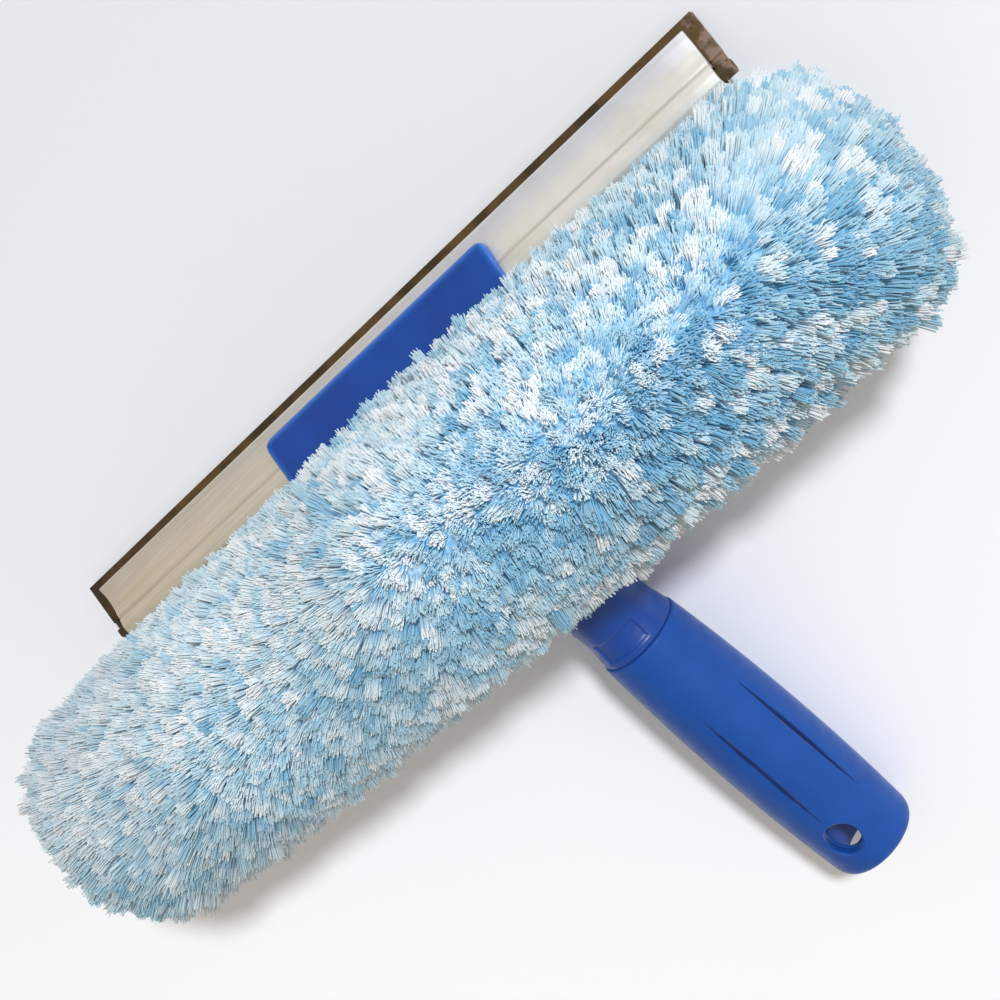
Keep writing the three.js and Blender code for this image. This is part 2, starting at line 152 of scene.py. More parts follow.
def store(mesh, key, numbers):
    """Keeps a number for each point of the mesh, for its material to read."""
    mesh.attributes.new(key, "FLOAT", "POINT").data.foreach_set("value", numbers.astype(np.float32))


def final_mesh(obj):
    """The mesh of obj with its modifiers worked in; obj itself is removed."""
    bpy.context.view_layer.update()
    mesh = bpy.data.meshes.new_from_object(obj.evaluated_get(bpy.context.evaluated_depsgraph_get()))
    bpy.data.objects.remove(obj)
    return mesh


def loose_object(mesh):
    obj = bpy.data.objects.new("working", mesh)
    bpy.context.scene.collection.objects.link(obj)
    return obj


def cut(mesh, cutter_mesh):
    """mesh with the inside of cutter_mesh taken away."""
    body = loose_object(mesh)
    cutter = loose_object(cutter_mesh)
    step = body.modifiers.new("cut", "BOOLEAN")
    step.object = cutter
    step.operation = "DIFFERENCE"
    step.solver = "EXACT"
    result = final_mesh(body)
    bpy.data.objects.remove(cutter)
    return result


def rounded(points, radii, arc_step=0.25):
    """A closed outline with each corner replaced by an arc of its own radius."""
    points = [Vector(p) for p in points]
    result = []
    for i, (corner, radius) in enumerate(zip(points, radii)):
        back = (points[i - 1] - corner).normalized()
        ahead = (points[(i + 1) % len(points)] - corner).normalized()
        half = back.angle(ahead) / 2
        if radius <= 0 or half > math.radians(89.5):
            result.append(corner)
            continue
        reach = radius / math.tan(half)
        centre = corner + (back + ahead).normalized() * radius / math.sin(half)
        start = corner + back * reach - centre
        sweep = start.angle_signed(corner + ahead * reach - centre)
        count = max(2, math.ceil(abs(sweep) * radius / arc_step))
        for k in range(count + 1):
            result.append(centre + Matrix.Rotation(-sweep * k / count, 2) @ start)
    return np.array([tuple(p) for p in result])


def spaced(outline, longest, closed=True):
    """An outline with long straight runs cut into steps no longer than `longest`."""
    result = []
    for i, (here, ahead) in enumerate(zip(outline, np.roll(outline, -1, axis=0))):
        if not closed and i == len(outline) - 1:
            return np.array(result + [here])
        count = max(1, math.ceil(np.linalg.norm(ahead - here) / longest))
        for k in range(count):
            result.append(here + (ahead - here) * k / count)
    return np.array(result)


def turned(profile, steps):
    """Rings of a profile of (radius, y) turned about the Y axis."""
    turn = 2 * math.pi * np.arange(steps) / steps
    radius, y = profile[:, 0, None], profile[:, 1, None]
    return np.stack([radius * np.cos(turn), y + 0 * turn, radius * np.sin(turn)], axis=-1)


def drawn_along_x(outline, half_length, end_round=0.25, steps=12):
    """Rings of an outline of (y, z) drawn along X, drawn in a little at both ends."""
    ahead = np.roll(outline, -1, axis=0) - np.roll(outline, 1, axis=0)
    inward = np.stack([-ahead[:, 1], ahead[:, 0]], axis=1)
    inward /= np.linalg.norm(inward, axis=1, keepdims=True)
    area = np.sum(outline[:, 0] * np.roll(outline[:, 1], -1) - outline[:, 1] * np.roll(outline[:, 0], -1))
    inward *= np.sign(area)
    inner = half_length - end_round
    stations = [(-half_length, end_round), (-half_length + 0.3 * end_round, 0.3 * end_round)]
    stations += [(x, 0.0) for x in np.linspace(-inner, inner, steps)]
    stations += [(half_length - 0.3 * end_round, 0.3 * end_round), (half_length, end_round)]
    rings = []
    for x, depth in stations:
        section = outline + inward * depth
        rings.append(np.column_stack([np.full(len(section), x), section]))
    return np.array(rings)


# ---- material helpers ----


def colour(code):
    """Linear colour of a hexadecimal sRGB code."""
    parts = [int(code[i:i + 2], 16) / 255 for i in (1, 3, 5)]
    return tuple(p / 12.92 if p <= 0.04045 else ((p + 0.055) / 1.055) ** 2.4 for p in parts) + (1.0,)


class Look:
    """A material in the making: one Principled shader and the nodes that feed it."""

    def __init__(self, name, **constants):
        self.material = bpy.data.materials.new(name)
        self.material.use_nodes = True
        self.tree = self.material.node_tree
        self.shader = self.tree.nodes["Principled BSDF"]
        self.place = self.tree.nodes.new("ShaderNodeTexCoord").outputs["Object"]
        for socket, value in constants.items():
            self.shader.inputs[socket.replace("_", " ")].default_value = value

    def node(self, kind, settings=None, **inputs):
        made = self.tree.nodes.new("ShaderNode" + kind)
        for key, value in (settings or {}).items():
            setattr(made, key, value)
        for key, value in inputs.items():
            self.feed(made.inputs[key.replace("_", " ")], value)
        return made

    def feed(self, socket, value):
        if isinstance(value, bpy.types.NodeSocket):
            self.tree.links.new(value, socket)
        else:
            socket.default_value = value

    def stretched(self, scale):
        """The place on the object, each axis scaled: small numbers make long streaks."""
        return self.node("Mapping", Vector=self.place, Scale=scale).outputs["Vector"]

    def noise(self, size, detail=3.0, roughness=0.55, scale=(1, 1, 1)):
        """Smooth noise, 0 to 1, with blobs about `size` metres across."""
        made = self.node("TexNoise", Vector=self.stretched(scale), Scale=1 / size, Detail=detail,
                         Roughness=roughness)
        return made.outputs["Fac"]

    def cells(self, size, feature="F1"):
        made = self.node("TexVoronoi", {"feature": feature}, Vector=self.place, Scale=1 / size)
        return made.outputs["Distance"]

    def between(self, value, low, high, to_low=0.0, to_high=1.0):
        made = self.node("MapRange", {"interpolation_type": "SMOOTHSTEP"}, Value=value)
        for key, number in (("From Min", low), ("From Max", high), ("To Min", to_low), ("To Max", to_high)):
            made.inputs[key].default_value = number
        return made.outputs["Result"]

    def maths(self, operation, first, second):
        made = self.tree.nodes.new("ShaderNodeMath")
        made.operation = operation
        self.feed(made.inputs[0], first)
        self.feed(made.inputs[1], second)
        return made.outputs["Value"]

    def mix(self, share, first, second, blend="MIX"):
        made = self.tree.nodes.new("ShaderNodeMix")
        made.data_type = "RGBA"
        made.blend_type = blend
        self.feed(made.inputs["Factor"], share)
        self.feed(made.inputs["A"], first)
        self.feed(made.inputs["B"], second)
        return made.outputs["Result"]

    def mixed(self, share, first, second):
        return self.mix(share, colour(first), colour(second))

    def axis(self, name):
        return self.node("SeparateXYZ", Vector=self.place).outputs[name]

    def attribute(self, name):
        return self.node("Attribute", {"attribute_name": name}).outputs["Fac"]

    def bump(self, height, distance, strength=1.0):
        """Relief of `distance` metres between height 0 and 1."""
        made = self.node("Bump", Height=height, Distance=distance, Strength=strength)
        self.feed(self.shader.inputs["Normal"], made.outputs["Normal"])

    def finished(self, base, rough=None):
        self.feed(self.shader.inputs["Base Color"], base)
        if rough is not None:
            self.feed(self.shader.inputs["Roughness"], rough)
        return self.material


# ---- materials ----


def soft_grip_look():
    look = Look("soft_grip", Sheen_Weight=0.3, Sheen_Roughness=0.35, Specular_IOR_Level=0.35)
    look.shader.inputs["Sheen Tint"].default_value = colour("#cfd3dc")
    patches = look.between(look.noise(0.018), 0.35, 0.68)
    base = look.mixed(patches, "#0a479b", "#0a4ba1")
    scuffs = look.between(look.noise(0.003, 5.0, 0.65, (3, 1, 3)), 0.6, 0.85, 0.0, 0.25)
    base = look.mix(scuffs, base, colour("#2a61ac"))
    # painted shade: the grip is darkened inside its pressed grooves, standing in for the shade there
    base = look.mix(look.attribute("groove_shade"), base, colour("#062660"))
    look.bump(look.noise(0.0006, 4.0), 0.00006)
    return look.finished(base, look.between(look.noise(0.004), 0.3, 0.7, 0.52, 0.66))


def hard_plastic_look():
    look = Look("hard_plastic", Specular_IOR_Level=0.5)
    # painted highlight: convex edges made lighter blue, standing in for light caught on the rounded edges
    edge_highlight = look.between(look.node("NewGeometry").outputs["Pointiness"], 0.515, 0.56, 0.0, 0.45)
    base = look.mixed(look.between(look.noise(0.02), 0.35, 0.65), "#053c8e", "#06429a")
    base = look.mix(edge_highlight, base, colour("#3a72c0"))
    # painted highlight: lighter blue along the jaw's front and side edges, from the rim values
    base = look.mix(look.attribute("rim"), base, colour("#2f74d0"))
    look.bump(look.noise(0.0009, 4.0), 0.00005)
    return look.finished(base, look.between(look.noise(0.006, 4.0), 0.3, 0.7, 0.3, 0.44))


def channel_look():
    """Satin aluminium with fine lines along its length, dulled in patches. A painted reflection turns it warm
    at the -X end and cool and lighter at the +X end, and a painted shade darkens the pressed line.
    """
    look = Look("channel_metal", Metallic=0.45)
    lines = look.noise(0.0004, 3.0, 0.6, (0.02, 1, 1))
    stains = look.between(look.noise(0.012, 4.0, 0.6, (0.4, 1, 1)), 0.45, 0.75, 0.0, 0.6)
    # painted reflection: warm tan at the -X end, cooler and lighter at the +X end
    along = look.between(look.axis("X"), -0.12, 0.1)
    base = look.mix(look.attribute("rear"), look.mixed(along, "#cabeab", "#dfdfe6"),
                    look.mixed(along, "#cdc0a8", "#eeece6"))
    # painted shade: a darker line along the pressed line, standing in for the shade in it
    base = look.mix(look.attribute("pressed_line_shade"), base, colour("#a79a8a"))
    base = look.mix(stains, base, colour("#cfc4b2"))
    base = look.mix(look.between(lines, 0.4, 0.7, 0.0, 0.25), base, colour("#f4f3f0"))
    look.bump(lines, 0.00003)
    return look.finished(base, look.between(look.noise(0.01), 0.3, 0.7, 0.36, 0.5))


def rubber_look():
    """Dark brown rubber, reddish in patches, its end beyond the channel at +X worn to grey and pink."""
    look = Look("blade_rubber", Specular_IOR_Level=0.4)
    base = look.mixed(look.between(look.noise(0.01, 4.0), 0.35, 0.65), "#32240f", "#54401c")
    base = look.mix(look.between(look.noise(0.006, 3.0), 0.55, 0.75, 0.0, 0.6), base, colour("#4a2a1c"))
    overhang = look.between(look.axis("X"), BLADE_LENGTH / 2 * MM - 0.0041, BLADE_LENGTH / 2 * MM - 0.0030)
    worn = look.maths("MULTIPLY", overhang, look.between(look.noise(0.004, 4.0), 0.42, 0.62))
    base = look.mix(worn, base, colour("#846c5c"))
    look.bump(look.noise(0.0012, 5.0), 0.00012)
    return look.finished(base, look.between(look.noise(0.005), 0.3, 0.7, 0.5, 0.7))


def pile_look():
    """Microfibre strands: white to mid blue by tuft, and bluer towards the root, partly the fibre's own
    colour and partly painted shade deep in the pile.
    """
    look = Look("pile_fibre", Roughness=0.85, Sheen_Weight=0.6, Sheen_Roughness=0.6)
    look.shader.inputs["Sheen Tint"].default_value = colour("#cfeafa")
    tone = look.attribute("tone")
    ramp = look.node("ValToRGB", Fac=tone)
    stops = ramp.color_ramp.elements
    stops[0].position, stops[0].color = 0.0, colour("#5fadd6")
    stops[1].position, stops[1].color = 1.0, colour("#fffdfe")
    for position, code in ((0.25, "#8ac6e3"), (0.5, "#bfe1f0"), (0.75, "#eaf5fa")):
        stops.new(position).color = colour(code)
    shade = look.between(look.attribute("strand"), 0.0, 1.0, 0.0, 0.3)
    base = look.mix(shade, ramp.outputs["Color"], colour("#e9f6fb"))
    # bluer and darker towards the root: partly the fibre's colour, partly painted shade between the strands
    depth = look.between(look.attribute("along"), 0.35, 0.95, 0.75, 0.0)
    base = look.mix(depth, base, colour("#6fb5dd"))
    return look.finished(base)


def undercoat_look():
    look = Look("pile_undercoat", Roughness=0.95)
    base = look.mixed(look.between(look.noise(0.003, 4.0), 0.35, 0.65), "#7dc0e4", "#c4e4f3")
    look.bump(look.noise(0.0012, 4.0), 0.0006)
    return look.finished(base)


def backing_look():
    """Knitted cloth: rows of small loops, darker in the dips between them as painted shade."""
    look = Look("backing_cloth", Roughness=0.95, Sheen_Weight=0.2)
    loops = look.cells(0.0011)
    # painted shade: the cloth is darker where the loops dip
    base = look.mixed(look.between(loops, 0.1, 0.7), "#e4edf2", "#a9c0cd")
    look.bump(loops, -0.0003)
    return look.finished(base)


def tape_look():
    look = Look("closure_tape", Roughness=0.8)
    hooks = look.cells(0.0009)
    # painted shade: darker between the hooks, where the surface dips
    base = look.mixed(look.between(hooks, 0.15, 0.6), "#3b4046", "#16181b")
    look.bump(hooks, -0.0004)
    return look.finished(base)


def bar_look():
    look = Look("tbar_plastic", Specular_IOR_Level=0.4)
    base = look.mixed(look.between(look.noise(0.02, 4.0), 0.4, 0.7), "#e6e8ea", "#d3d7da")
    look.bump(look.noise(0.0008, 3.0), 0.00004)
    return look.finished(base, look.between(look.noise(0.01), 0.3, 0.7, 0.4, 0.55))


def steel_look():
    look = Look("fastener_steel", Metallic=1.0)
    base = look.mixed(look.between(look.noise(0.002, 4.0), 0.4, 0.65), "#c3c6ca", "#9da2a8")
    look.bump(look.noise(0.0005, 3.0), 0.00004)
    return look.finished(base, look.between(look.noise(0.001), 0.3, 0.7, 0.25, 0.4))


def floor_look():
    look = Look("floor", Roughness=0.7, Specular_IOR_Level=0.2)
    # painted shade: the floor grows darker towards +Y, a painted fall-off of the light
    painted_falloff = look.between(look.axis("Y"), -0.12, 0.3)
    base = look.mixed(painted_falloff, "#f9fafd", "#e2e4ea")
    return look.finished(look.mix(look.between(look.noise(0.2), 0.3, 0.7, 0.0, 0.1), base, colour("#e9ebf2")))


SOFT_GRIP = soft_grip_look()
HARD_PLASTIC = hard_plastic_look()
CHANNEL_METAL = channel_look()
RUBBER = rubber_look()
PILE = pile_look()
UNDERCOAT = undercoat_look()
BACKING = backing_look()
TAPE = tape_look()
BAR_PLASTIC = bar_look()
STEEL = steel_look()

# ---- handle ----


def grip_radius(y):
    """The grip's outer radius: a parabola through its radii at the front edge, the belly and the end."""
    share = np.clip(-np.asarray(y, float) / GRIP_LENGTH, 0, 1)
    front = GRIP_RADII[0] * (share - GRIP_BELLY) * (share - 1) / GRIP_BELLY
    belly = GRIP_RADII[1] * share * (share - 1) / (GRIP_BELLY * (GRIP_BELLY - 1))
    end = GRIP_RADII[2] * share * (share - GRIP_BELLY) / (1 - GRIP_BELLY)
    return front + belly + end


HOLE_Y, HOLE_HALF_WIDTH, HOLE_HALF_LENGTH = -83.6, 5.0, 6.0
PANEL_Y, PANEL_HALF_LENGTH, PANEL_HALF_WIDTH, PANEL_DEPTH = 5.75, 3.6, 8.0, 0.6


def hang_hole_cutter():
    """The oval hole's inside, flaring with a small round where it meets the grip's skin, above and below."""
    steps, rim = 96, 0.9
    turn = 2 * math.pi * np.arange(steps) / steps
    flare = [(rim * 1.35, -0.9)]
    for angle in np.radians([18, 34, 50, 66, 80, 90]):
        flare.append((rim * (1 - math.sin(angle)), rim * (1 - math.cos(angle))))
    levels = [(extra, depth, 1) for extra, depth in flare]
    levels += [(extra, depth, -1) for extra, depth in flare[::-1]]
    rings = []
    for extra, depth, side in levels:
        x = (HOLE_HALF_WIDTH + extra) * np.cos(turn)
        y = HOLE_Y + (HOLE_HALF_LENGTH + extra) * np.sin(turn)
        skin = np.sqrt(grip_radius(y) ** 2 - x ** 2)
        rings.append(np.stack([x, y, side * (skin - depth)], axis=-1))
    return ring_mesh("hole_cutter", moved(TOOL, np.array(rings)))


def groove_depth(y, turn, radius):
    """Depth of the six pointed grooves pressed along the grip."""
    front, back, half_width, deepest, count = 23.0, 78.5, 0.75, 1.0, 6
    share = np.clip((-y - front) / (back - front), 0, 1)
    swell = np.sin(math.pi * share)
    nearest = (turn - math.pi / 2 + math.pi / count) % (2 * math.pi / count) - math.pi / count
    across = np.abs(nearest) * radius / np.maximum(half_width * swell, 1e-6)
    return deepest * swell * np.sqrt(np.clip(1 - across, 0, 1))


def make_grip():
    fillet, steps, bore = 4.5, 400, CORE_RADIUS + 0.3
    straight = GRIP_LENGTH - fillet
    profile = [(bore, 0.0), (GRIP_RADII[0] - 0.5, 0.0)]
    for angle in np.radians([30, 60]):
        profile.append((GRIP_RADII[0] - 0.5 + 0.5 * math.sin(angle), -0.5 * (1 - math.cos(angle))))
    for y in np.linspace(0.5, straight, 190):
        profile.append((float(grip_radius(-y)), -y))
    base = float(grip_radius(-straight))
    for angle in np.radians(np.linspace(9, 90, 10)):
        profile.append((base - 0.45 * fillet * (1 - math.cos(angle)), -straight - fillet * math.sin(angle)))
    for y in (-GRIP_LENGTH, -0.66 * GRIP_LENGTH, -0.33 * GRIP_LENGTH):
        profile.append((bore, y))
    profile = np.array(profile)
    turn = 2 * math.pi * np.arange(steps) / steps
    outer = profile[:, 0, None] > bore + 0.1
    depth = groove_depth(profile[:, 1, None], turn, profile[:, 0, None]) * outer
    rings = turned(profile, steps)
    radial = np.stack([np.cos(turn), 0 * turn, np.sin(turn)], axis=-1)
    rings -= depth[..., None] * radial
    mesh = cut(ring_mesh("grip", moved(TOOL, rings), joined=True), hang_hole_cutter())
    x, y, z = moved(TOOL.inverted(), places(mesh)).T
    pressed_in = groove_depth(y, np.arctan2(z, x), np.hypot(x, z) + 0.5)
    # how far each point lies in a groove, kept for the painted shade in the grooves
    store(mesh, "groove_shade", np.clip(pressed_in / 0.4, 0, 1) * (np.hypot(x, z) > bore + 0.1))
    grip = new_object("grip", smooth_shaded(mesh, 40), "tool_body", SOFT_GRIP)
    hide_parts("grip_cover")


def make_handle():
    """The hard inner handle: pole socket, core under the grip, collar with a plain recessed panel, spigot."""
    steps, socket_end = 256, -GRIP_LENGTH + 62
    corners = [
        ((0.05, socket_end), 0), ((9.4, socket_end), 0.5), ((10.6, -GRIP_LENGTH), 0.3),
        ((CORE_RADIUS, -GRIP_LENGTH), 0.3), ((CORE_RADIUS, 0.3), 0.1), ((13.0, 0.3), 0.3),
        ((12.1, 6), 12), ((12.0, 12), 14), ((12.6, 20), 14), ((12.6, 26), 0.3), ((8, 26), 0.2),
        ((8, 45), 0.6), ((0.05, 45), 0),
    ]
    outline = rounded([place for place, _ in corners], [radius for _, radius in corners])
    profile = spaced(outline, 0.5, closed=False)
    rings = turned(profile, steps)
    turn = 2 * math.pi * np.arange(steps) / steps
    across = np.abs((turn - math.pi / 2 + math.pi) % (2 * math.pi) - math.pi) * profile[:, 0, None]
    along = np.abs(profile[:, 1, None] - PANEL_Y)
    inside = np.minimum(PANEL_HALF_WIDTH - across, PANEL_HALF_LENGTH - along)
    skin = profile[:, 0, None] > CORE_RADIUS - 0.5
    depth = PANEL_DEPTH * np.clip(inside / 0.5, 0, 1) * skin * (profile[:, 1, None] > 1)
    rings -= depth[..., None] * np.stack([np.cos(turn), 0 * turn, np.sin(turn)], axis=-1)
    mesh = cut(ring_mesh("handle", moved(TOOL, rings)), hang_hole_cutter())
    handle = new_object("handle", smooth_shaded(mesh, 40), "tool_body", HARD_PLASTIC)
    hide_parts("handle_core")


# ---- moulded head ----


def moulded(name, node, voxel, passes):
    """A CAD node with its edges rounded as a moulding's are: remeshed finely, then smoothed."""
    mesh = frame["nodes"][node].data.copy()
    shape = bmesh.new()
    shape.from_mesh(mesh)
    bmesh.ops.remove_doubles(shape, verts=shape.verts, dist=1e-6)
    shape.to_mesh(mesh)
    shape.free()
    obj = loose_object(mesh)
    remesh = obj.modifiers.new("remesh", "REMESH")
    remesh.mode = "VOXEL"
    remesh.voxel_size = voxel * MM
    smooth = obj.modifiers.new("smooth", "SMOOTH")
    smooth.factor = 0.5
    smooth.iterations = passes
    return smooth_shaded(final_mesh(obj))


JAW_FRONT, JAW_HALF_WIDTH = 5.9, 45.5     # back from the lip, and to each side


def mark_jaw_rim_highlight(mesh):
    """Stores how near each point is to the jaw's front and side edges, for a painted highlight that makes the
    blue lighter there.
    """
    x, y, _ = moved(BLADE.inverted(), places(mesh)).T
    front = np.clip((JAW_FRONT + 2.7 + y) / 2.4, 0, 1)
    beside_channel = np.clip((24 + y) / 4, 0, 1)
    side = np.clip((np.abs(x) - JAW_HALF_WIDTH + 2.3) / 2.0, 0, 1) * beside_channel
    # rim holds the strength of the painted highlight
    store(mesh, "rim", 0.75 * np.maximum(front, side) ** 1.5)


def make_head():
    for name, node, passes in (("head", "head_yoke", 9), ("clamp_plate", "lower_jaw", 6)):
        mesh = moulded(name, node, 0.45, passes)
        mark_jaw_rim_highlight(mesh)
        piece = new_object(name, mesh, "tool_body", HARD_PLASTIC)
        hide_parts(node)


# ---- channel and rubber, drawn in the blade's frame ----

# The channel's upper half: back from the lip, height over the rubber's middle plane, corner radius
CHANNEL_TOP = [(2.7, 3.4, 0.5), (5, 2.7, 6), (8, 2.4, 8), (11, 2.8, 5), (13, 3.4, 1.2), (14, 3.3, 1.0),
               (15, 3.8, 1.2), (17, 4.3, 3.0), (19.2, 3.8, 1.6), (20.6, 2.6, 1.2), (21.2, 1.4, 0.8)]
CHANNEL_POCKET = [(13.5, 1.5), (13.8, 0.9), (15.1, 0.9), (15.1, 2.4), (18.3, 2.4), (19.9, 1.5)]
CHANNEL_MOUTH = (2.7, 1.5)
CHANNEL_OVERHANG = 4.1       # rubber beyond the channel at each end
RIDGE_BACK = 14              # where a pressed line runs along the channel
RUBBER_HALF = [(0, 1.2), (13.2, 1.2), (13.5, 0.6), (15.4, 0.6), (15.8, 2.1), (18.0, 2.1), (19.6, 1.1)]


def mirrored(half):
    """An outline of (y, height) from points (back, height), and their mirror image below."""
    return [(-back, height) for back, height in half] + [(-back, -height) for back, height in half[::-1]]


def make_channel():
    top = [(back, height) for back, height, _ in CHANNEL_TOP]
    top_radii = [radius for _, _, radius in CHANNEL_TOP]
    pocket = mirrored(CHANNEL_POCKET)[::-1]
    (mouth_back, mouth_half), mouth_radius = CHANNEL_MOUTH, 0.3
    points = [(-mouth_back, mouth_half)] + mirrored(top) + [(-mouth_back, -mouth_half)] + pocket
    radii = [mouth_radius] + top_radii + top_radii[::-1] + [mouth_radius] + [0.1] * len(pocket)
    outline = spaced(rounded(points, radii, 0.12), 0.6)
    half_length = BLADE_LENGTH / 2 - CHANNEL_OVERHANG
    rings = moved(BLADE, drawn_along_x(outline, half_length, 0.2, 16))
    mesh = smooth_shaded(ring_mesh("channel", rings), 50)
    back = -moved(BLADE.inverted(), places(mesh))[:, 1]
    store(mesh, "rear", np.clip((back - 6) / 4, 0, 1))
    # how near each point is to the pressed line, for its painted shade
    store(mesh, "pressed_line_shade", 0.6 * np.clip(1 - np.abs(back - RIDGE_BACK) / 0.8, 0, 1))
    channel = new_object("channel", mesh, "channel", CHANNEL_METAL)
    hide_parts("squeegee_channel")


def make_rubber():
    radii = [0.08, 0.15, 0.1, 0.1, 0.6, 0.8, 0.9]
    outline = rounded(mirrored(RUBBER_HALF), radii + radii[::-1], 0.12)
    rings = moved(BLADE, drawn_along_x(outline, BLADE_LENGTH / 2, 0.12, 48))
    mesh = smooth_shaded(ring_mesh("rubber", rings), 40)
    blade = new_object("rubber", mesh, "rubber", RUBBER)
    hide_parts("rubber_blade")


# ---- washing sleeve ----

PILE_SLICES = 14
PILE_ROOT_SHARE = np.array([0.95, 0.78, 0.78])   # where the strands start, as a share of the outer shape
UNDERCOAT_DRAWN_IN = np.array([0.04, 0.15, 0.15])   # share that the matted roots lie below the outer shape
UNDERCOAT_CORE = 0.72        # nearer the middle than this share, nothing is drawn in
NORMAL_TOWARDS_TIP = 0.9     # fibres this fine shade partly as the brush they make up, not each alone

# Where the pile parts: place along the sleeve, degrees round it, reach in mm, strength
PARTINGS = [(-0.06, 58, 38, 1.1), (0.81, 56, 34, 1.0), (0.35, 100, 30, 0.7), (-0.62, 95, 34, 0.7),
            (0.1, 200, 40, 0.8), (-0.5, 320, 40, 0.8), (0.6, 260, 40, 0.8)]


def pile_share(along):
    """The pile's radius at a place along the sleeve, -1 to 1, as a share of its radius in the middle."""
    return np.sqrt(np.clip(1 - along ** PILE_BLUNTNESS, 0, 1)) * (1 - PILE_TAPER * along ** 2)


def pile_surface(along, turn):
    """Points and outward normals of the pile's outer shape, in the sleeve's frame."""
    def point(along, turn):
        share = pile_share(along)
        return np.stack([along, share * np.cos(turn), share * np.sin(turn)], axis=-1) * PILE_HALF
    small = 1e-4
    here = point(along, turn)
    by_turn = point(along, turn + small) - here
    by_along = point(np.clip(along + small, -1, 1), turn) - point(np.clip(along - small, -1, 1), turn)
    normal = np.cross(by_along, by_turn)
    normal *= np.sign(np.sum(normal * here, axis=-1, keepdims=True))
    return here, normal / np.maximum(np.linalg.norm(normal, axis=-1, keepdims=True), 1e-12)


EVEN_STEPS = (0.7548776662, 0.5698402910)    # of a sequence that spreads evenly over a plane


def spread_over_pile(count, shift):
    """About evenly spaced (along, turn) places over the pile's outer shape."""
    along = np.cos(np.linspace(math.pi, 0, 1600))
    share = pile_share(along)
    run = np.hypot(np.diff(along) * PILE_HALF[0], np.diff(share) * PILE_HALF[1])
    area = np.concatenate([[0], np.cumsum(run * (share[1:] + share[:-1]))])
    i = np.arange(count)
    wanted = (shift + i * EVEN_STEPS[0]) % 1 * area[-1]
    return np.interp(wanted, area, along), 2 * math.pi * ((shift + i * EVEN_STEPS[1]) % 1)


def swirl(points, normals, random):
    """The way the pile leans at each point: combed outward at the ends, parting round a few centres."""
    lean = np.zeros_like(points)
    for along, degrees, reach, strength in PARTINGS:
        centre, _ = pile_surface(np.array([along]), np.radians([degrees]))
        away = points - centre
        distance = np.linalg.norm(away, axis=1, keepdims=True)
        lean += strength * away / (distance + 4) * np.exp(-(distance / reach) ** 2)
    ends = points[:, :1] / PILE_HALF[0]
    lean += np.array([1.0, 0, 0]) * ends ** 3 * 0.9
    lean += np.array([0, 0, -0.3])
    for size, amount in ((55.0, 0.55), (22.0, 0.35)):
        for axis in range(3):
            direction, phase = random.normal(size=(3, 3)), random.uniform(0, 2 * math.pi, 3)
            waves = np.sin(points @ direction.T / size * 2 + phase)
            lean[:, axis] += amount * waves.mean(axis=1)
    return lean - normals * np.sum(lean * normals, axis=1, keepdims=True)


BAR_Y, SADDLE_Y = 67.2, 66      # middle of the slit over the T-bar, and of the head's saddle under it
NECK_ROOM, SLIT_HALF_LENGTH, SADDLE_HALF_WIDTH, FAN_HALF_WIDTH = 14, 70, 15, 48


def clear_of_tool(points):
    """True for points of the sleeve's frame, [.., 3] in mm, that stay out of the handle, head and blade."""
    world = moved(SLEEVE, points)
    in_tool = moved(TOOL.inverted(), world)
    in_blade = moved(BLADE.inverted(), world)
    x, y, z = (in_tool[..., k] for k in range(3))
    neck = (y < 62) & (np.hypot(x, z) < NECK_ROOM)
    slit = (np.abs(x) < SLIT_HALF_LENGTH) & (np.abs(y - BAR_Y) < 10) & (z < 10)
    saddle = (np.abs(x) < SADDLE_HALF_WIDTH) & (np.abs(y - SADDLE_Y) < 14) & (z < 18)
    back, height = -in_blade[..., 1], in_blade[..., 2]
    fan = (np.abs(in_blade[..., 0]) < FAN_HALF_WIDTH) & (back < 72) & (height < 6.9)
    channel = (np.abs(in_blade[..., 0]) < BLADE_LENGTH / 2 + 1) & (back < 22) & (height < 5)
    return ~(neck | slit | saddle | fan | channel)


def strand_corners(root, tip, side, radius):
    """Three corners round each end of straight strands, [strand, end, corner, xyz], and their normals."""
    heading = tip - root
    heading /= np.linalg.norm(heading, axis=1, keepdims=True)
    across = np.cross(heading, side)
    across /= np.linalg.norm(across, axis=1, keepdims=True)
    other = np.cross(heading, across)
    turn = 2 * math.pi * np.arange(3)[:, None] / 3
    ring = across[:, None] * np.cos(turn) + other[:, None] * np.sin(turn)
    ends = np.stack([root, tip], axis=1)[:, :, None]
    corners = ends + ring[:, None] * radius[:, None, None, None]
    normals = np.broadcast_to((ring + NORMAL_TOWARDS_TIP * heading[:, None])[:, None], corners.shape)
    return corners, normals / np.linalg.norm(normals, axis=-1, keepdims=True)


STRAND_FACES = [(2, 1, 0), (3, 4, 5), (0, 1, 4, 3), (1, 2, 5, 4), (2, 0, 3, 5)]


